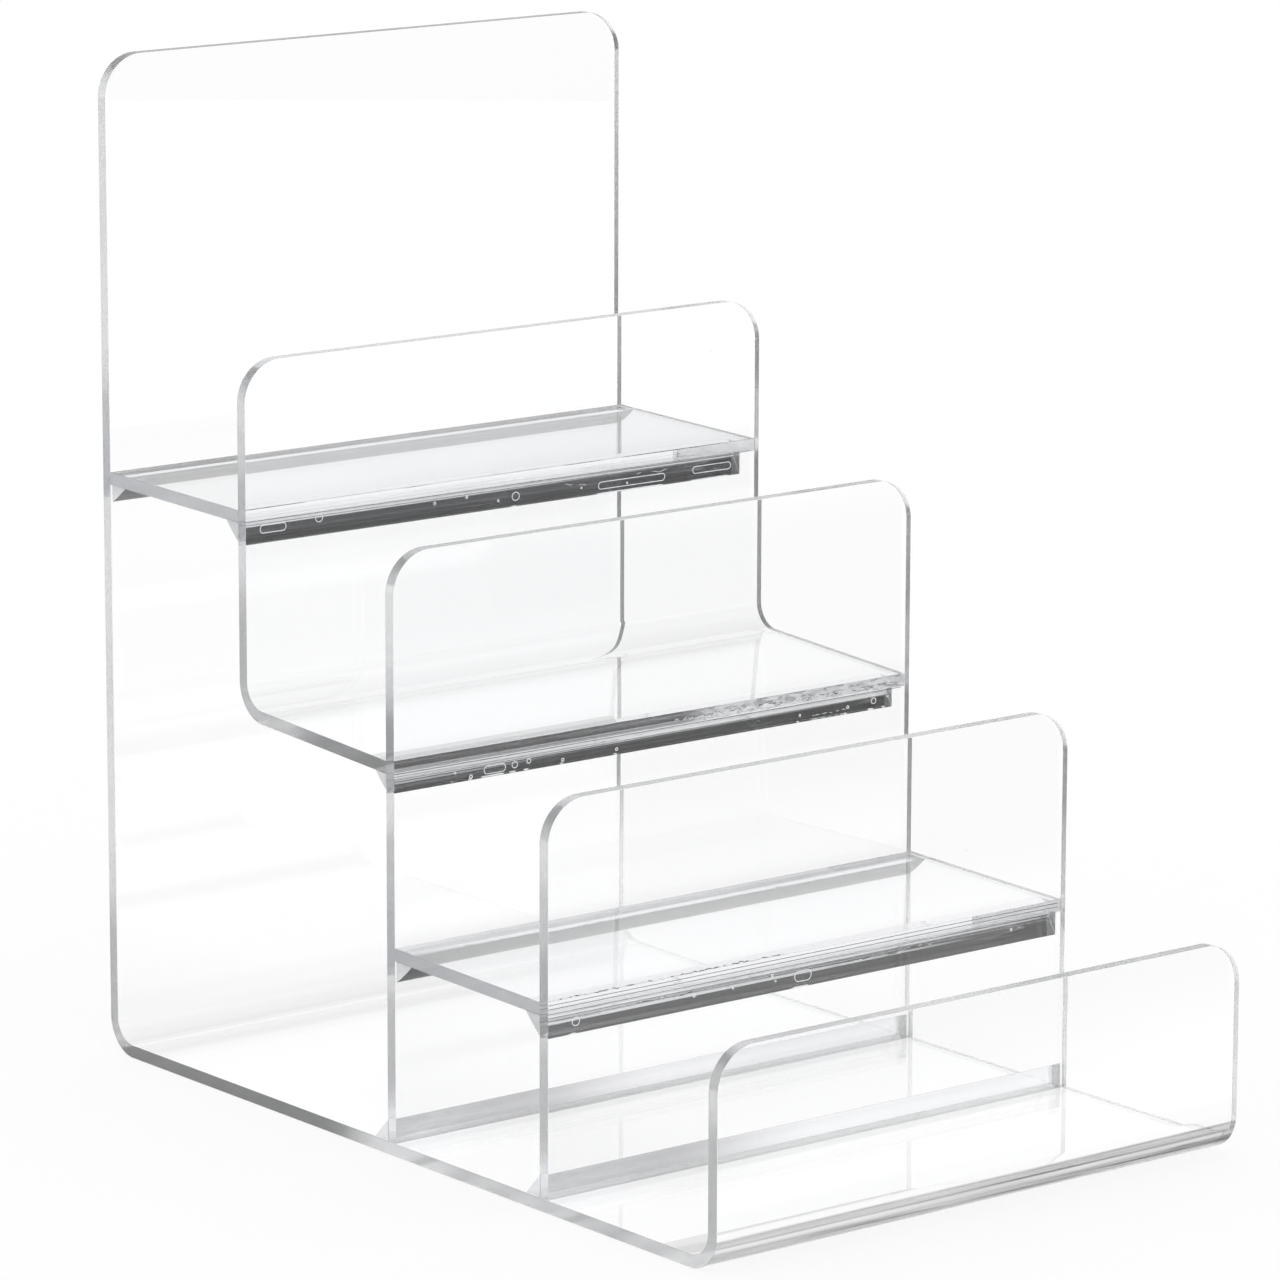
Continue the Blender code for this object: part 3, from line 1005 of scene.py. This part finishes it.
def buildMarks():
    rows = listMarks()
    mesh = bpy.data.meshes.new("bondMarks")
    mesh.from_pydata([row["place"] for row in rows], [], [])
    for name in ("halfLength", "halfHeight", "rise", "kind", "strays", "girth"):
        values = mesh.attributes.new(name, "FLOAT", "POINT")
        values.data.foreach_set("value", [row[name] for row in rows])
    piece = addPiece("bondMarks", mesh)
    tree = makeMarkTree()
    modifier = addModifier(piece, "bubbles and cracks", "NODES", node_group=tree)
    smallest, largest = bondMarks["straySize"]
    white, cement = bondMarks["white"], bondMarks["cement"]
    rimSharp, crackSharp = bondMarks["rimSharp"], bondMarks["crackSharp"]
    chosen = {
        "Tube": bondMarks["tube"],
        "Smallest": smallest,
        "Largest": largest,
        "Half width": halfWidth - bondMarks["strayEnd"],
        "Seed": bondMarks["seed"],
        "Rims": markMaterial("bubble rim", white, bondMarks["pearl"], rimSharp, bondMarks["glow"]),
        "Cracks": markMaterial("crack", white, cement, crackSharp, bondMarks["crackPaintedGlow"]),
        "Seams": markMaterial("cement line", cement, bondMarks["seamLight"], rimSharp, 0.0),
    }
    for socket in tree.interface.items_tree:
        if socket.in_out == "INPUT" and socket.name in chosen:
            modifier[socket.identifier] = chosen[socket.name]
    plainMesh(piece)
    for face in piece.data.polygons:
        face.use_smooth = True
    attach(piece, "root")
    return len(piece.data.polygons)


print("bubbles and cracks built:", buildMarks(), "faces")

# The studio: a white table and wall, dark overhead. Only reflections show the dark part.
studio = {
    "tableSize": 1.6,
    "tableSides": 96,
    "tableDrop": 0.0002,      # the table lies this far under the stand
    "daylight": 0.95,         # what plain surfaces are lit by from all round
    "shadowShare": 0.15,      # how much of the table's white depends on that light
    # painted shade: the table's tone as reflections see it, darker under the stand than in the open
    "tableNear": 0.95,        # the table as reflections show it, under the stand
    "tableFar": 1.0,          # and out in the open
    "nearReach": (0.095, 0.12),             # metres from the middle where it grows lighter
    "ceiling": 0.01,
    "wallHeights": (0.46, 0.72),            # on the unit sphere, where the wall fades into the ceiling
    "lowWall": 0.68,                        # a darker stripe of wall just above the table
    "stripeTop": (0.19, 0.25),
    "stripeFoot": (0.04, 0.12),
    "leftWall": 0.85,                       # the room's left side is darker
    "leftReach": (-0.35, -0.10),
    # painted shade: the table as reflections see it is darkest at the left
    "leftSide": 0.12,                       # and most of all the table there
    "frontWall": 0.40,                      # and so is what lies in front of the stand
    "frontReach": (-0.40, -0.05),
    # painted shade: the table as reflections see it is darker in front of the stand
    "frontTable": 0.30,
    "frontNear": (-0.26, -0.16),            # metres, where the table grows darker
    "frontFar": (-0.62, -0.50),             # and lighter again
    "tableLeft": (-0.07, 0.01),
    "leftFront": (-0.105, -0.085),          # where that darkness ends towards the front lip
}


def buildWorld():
    world = bpy.data.worlds.new("studio")
    bpy.context.scene.world = world
    world.use_nodes = True
    tree = world.node_tree
    path = addNode(tree, "ShaderNodeLightPath")
    axes = separated(tree, addNode(tree, "ShaderNodeTexCoord").outputs["Generated"])
    wall = rampNode(tree, axes["Z"], 1.0, studio["ceiling"], *studio["wallHeights"])
    above = rampNode(tree, axes["Z"], studio["lowWall"], 1.0, *studio["stripeTop"])
    below = rampNode(tree, axes["Z"], 1.0, studio["lowWall"], *studio["stripeFoot"])
    wall = mathNode(tree, "MULTIPLY", wall, mathNode(tree, "MAXIMUM", above, below))
    left = rampNode(tree, axes["X"], studio["leftWall"], 1.0, *studio["leftReach"])
    front = rampNode(tree, axes["Y"], studio["frontWall"], 1.0, *studio["frontReach"])
    wall = mathNode(tree, "MULTIPLY", wall, mathNode(tree, "MULTIPLY", left, front))
    lit = mathNode(tree, "GREATER_THAN", path.outputs["Diffuse Depth"], 0.5)
    soft = chooseNode(tree, lit, wall, studio["daylight"])
    strength = chooseNode(tree, path.outputs["Is Camera Ray"], soft, 1.0)
    fill(tree, tree.nodes["Background"], {"Color": (1, 1, 1, 1), "Strength": strength})


def buildTable():
    mesh = bpy.data.meshes.new("table")
    shape = bmesh.new()
    sides = studio["tableSides"]
    bmesh.ops.create_circle(shape, cap_ends=True, segments=sides, radius=studio["tableSize"])
    shape.to_mesh(mesh)
    shape.free()
    material, tree, shader, place = newMaterial("white table")
    tree.nodes.remove(shader)
    share = studio["shadowShare"]
    lit = addNode(tree, "ShaderNodeBsdfDiffuse", {"Color": (share, share, share, 1)})
    glow = addNode(tree, "ShaderNodeEmission", {"Strength": 1.0 - share * studio["daylight"]})
    white = addNode(tree, "ShaderNodeAddShader", {0: lit.outputs[0], 1: glow.outputs[0]})
    distance = vectorNode(tree, "LENGTH", place).outputs["Value"]
    level = rampNode(tree, distance, studio["tableNear"], studio["tableFar"], *studio["nearReach"])
    axes = separated(tree, place)
    near = rampNode(tree, axes["Y"], studio["frontTable"], 1.0, *studio["frontNear"])
    far = rampNode(tree, axes["Y"], 1.0, studio["frontTable"], *studio["frontFar"])
    front = mathNode(tree, "MAXIMUM", near, far)
    left = rampNode(tree, axes["X"], studio["leftSide"], 1.0, *studio["tableLeft"])
    left = mathNode(tree, "MAXIMUM", left, rampNode(tree, axes["Y"], 1.0, 0.0, *studio["leftFront"]))
    level = mathNode(tree, "MULTIPLY", level, mathNode(tree, "MULTIPLY", left, front))
    # painted shade: reflections see the table as this dimmer emission, darker under the stand, in front of
    # it and at its left
    paintedShadeGrey = addNode(tree, "ShaderNodeEmission", {"Strength": level})
    path = addNode(tree, "ShaderNodeLightPath")
    reflected = mathNode(tree, "COMPARE", path.outputs["Glossy Depth"], 1.0, 0.5)
    inputs = {0: reflected, 1: white.outputs[0], 2: paintedShadeGrey.outputs[0]}
    shown = addNode(tree, "ShaderNodeMixShader", inputs)
    fill(tree, tree.nodes["Material Output"], {"Surface": shown.outputs[0]})
    table = addPiece("table", mesh, material)
    table.location.z = -studio["tableDrop"]


# The photograph's viewpoint
viewpoint = {
    "place": (-0.9338, -1.1679, 0.4268),
    "heading": 38.47,         # degrees from +Y towards +X
    "drop": 12.02,            # degrees below the horizon
    "roll": 0.14,
    "lens": 189.4,
    "sensor": 36.0,
    "clip": (0.05, 20.0),
}


def buildCamera():
    data = bpy.data.cameras.new("camera")
    data.lens = viewpoint["lens"]
    data.sensor_width = viewpoint["sensor"]
    data.clip_start, data.clip_end = viewpoint["clip"]
    camera = addPiece("camera", data)
    heading, drop = math.radians(viewpoint["heading"]), math.radians(viewpoint["drop"])
    turn = Matrix.Rotation(-heading, 4, "Z") @ Matrix.Rotation(math.pi / 2 - drop, 4, "X")
    turn = turn @ Matrix.Rotation(math.radians(viewpoint["roll"]), 4, "Z")
    camera.matrix_world = Matrix.Translation(viewpoint["place"]) @ turn
    bpy.context.scene.camera = camera


buildWorld()
buildTable()
buildCamera()

# Light has to pass many faces of clear sheet
bounces = 64
scene = bpy.context.scene
scene.view_settings.view_transform = "Standard"
scene.cycles.max_bounces = bounces
scene.cycles.glossy_bounces = bounces
scene.cycles.transmission_bounces = bounces
scene.cycles.transparent_max_bounces = bounces
print("studio built")
